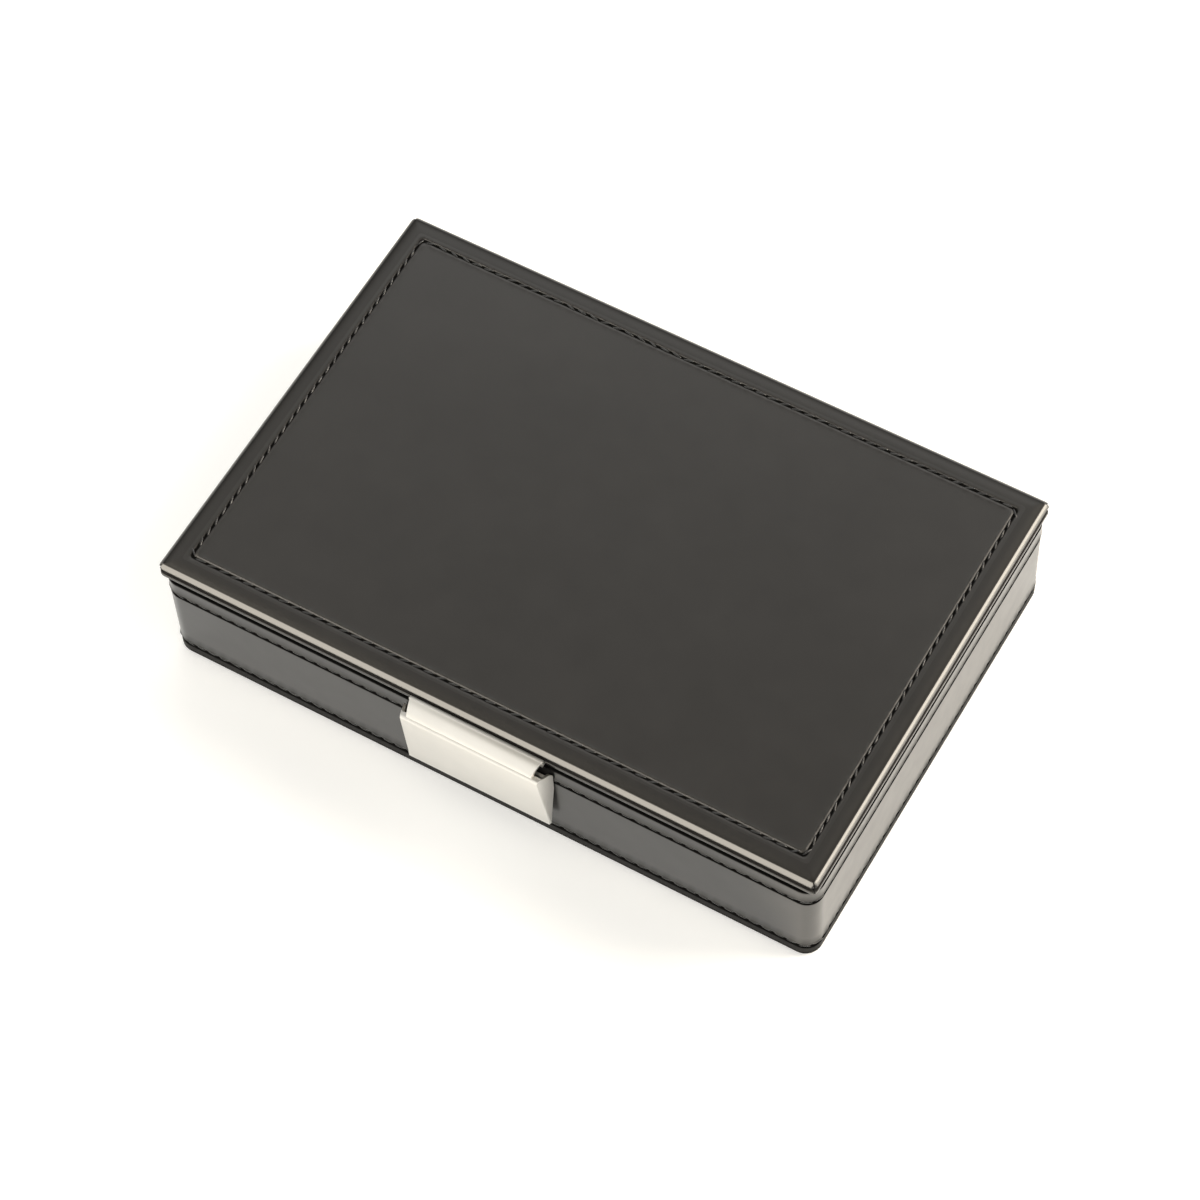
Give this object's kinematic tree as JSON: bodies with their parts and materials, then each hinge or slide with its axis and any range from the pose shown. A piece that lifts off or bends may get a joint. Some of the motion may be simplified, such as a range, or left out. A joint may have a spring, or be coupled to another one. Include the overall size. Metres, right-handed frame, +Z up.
{
  "type": "cufflink box",
  "caption": "Flat rectangular cufflink box in stitched leatherette, with a hinged lid, a sprung front clasp and a velvet interior divided into compartments.",
  "frame": {"origin": "middle of the underside, on the surface that the box stands on", "axes": "+X right along the front, +Y to the hinged back, +Z up"},
  "size_m": [0.1804, 0.1264, 0.0386],
  "materials": {
    "leatherette": "smooth semi-gloss black leatherette",
    "board": "raw fibreboard",
    "velvet": "short-pile velvet",
    "felt": "pressed felt",
    "nickel": "satin nickel plate",
    "steel": "plain steel"
  },
  "bodies": {
    "base": {"underside_felt": "felt", "floor_board": "board", "front_wall": "board", "back_wall": "board", "left_wall": "board", "right_wall": "board", "base_cover": "leatherette", "floor_pad": "velvet", "front_lining": "velvet", "back_lining": "velvet", "left_lining": "velvet", "right_lining": "velvet", "long_divider_1": "velvet", "long_divider_2": "velvet", "cross_divider_1": "velvet", "cross_divider_2": "velvet", "cross_divider_3": "velvet", "cross_divider_4": "velvet", "clasp_bracket": "nickel", "latch_pin": "steel", "bracket_rivet_left": "steel", "bracket_rivet_right": "steel", "left_base_leaf": "nickel", "right_base_leaf": "nickel", "left_hinge_pin": "steel", "right_hinge_pin": "steel", "left_base_screw_outer": "steel", "left_base_screw_inner": "steel", "right_base_screw_outer": "steel", "right_base_screw_inner": "steel"},
    "lid": {"lid_board": "board", "lid_cover": "leatherette", "lid_panel": "velvet", "left_lid_leaf": "nickel", "right_lid_leaf": "nickel", "left_lid_screw_outer": "steel", "left_lid_screw_inner": "steel", "right_lid_screw_outer": "steel", "right_lid_screw_inner": "steel", "clasp_hood": "nickel", "striker": "steel", "clasp_screw_left": "steel", "clasp_screw_middle": "steel", "clasp_screw_right": "steel"},
    "latch": {"latch_plate": "nickel", "latch_spring": "steel"}
  },
  "joints": [
    {"name": "lid_hinge", "type": "hinge", "parent": "base", "child": "lid", "pos_m": [0, 0.0601, 0.034], "axis": [-1, 0, 0], "range_deg": [0, 95]},
    {"name": "latch_pivot", "type": "hinge", "parent": "base", "child": "latch", "pos_m": [0, -0.06145, 0.0245], "axis": [1, 0, 0], "range_deg": [0, 5.5], "stiffness_Nm_per_rad": 0.02, "springref_deg": -11.46}
  ]
}
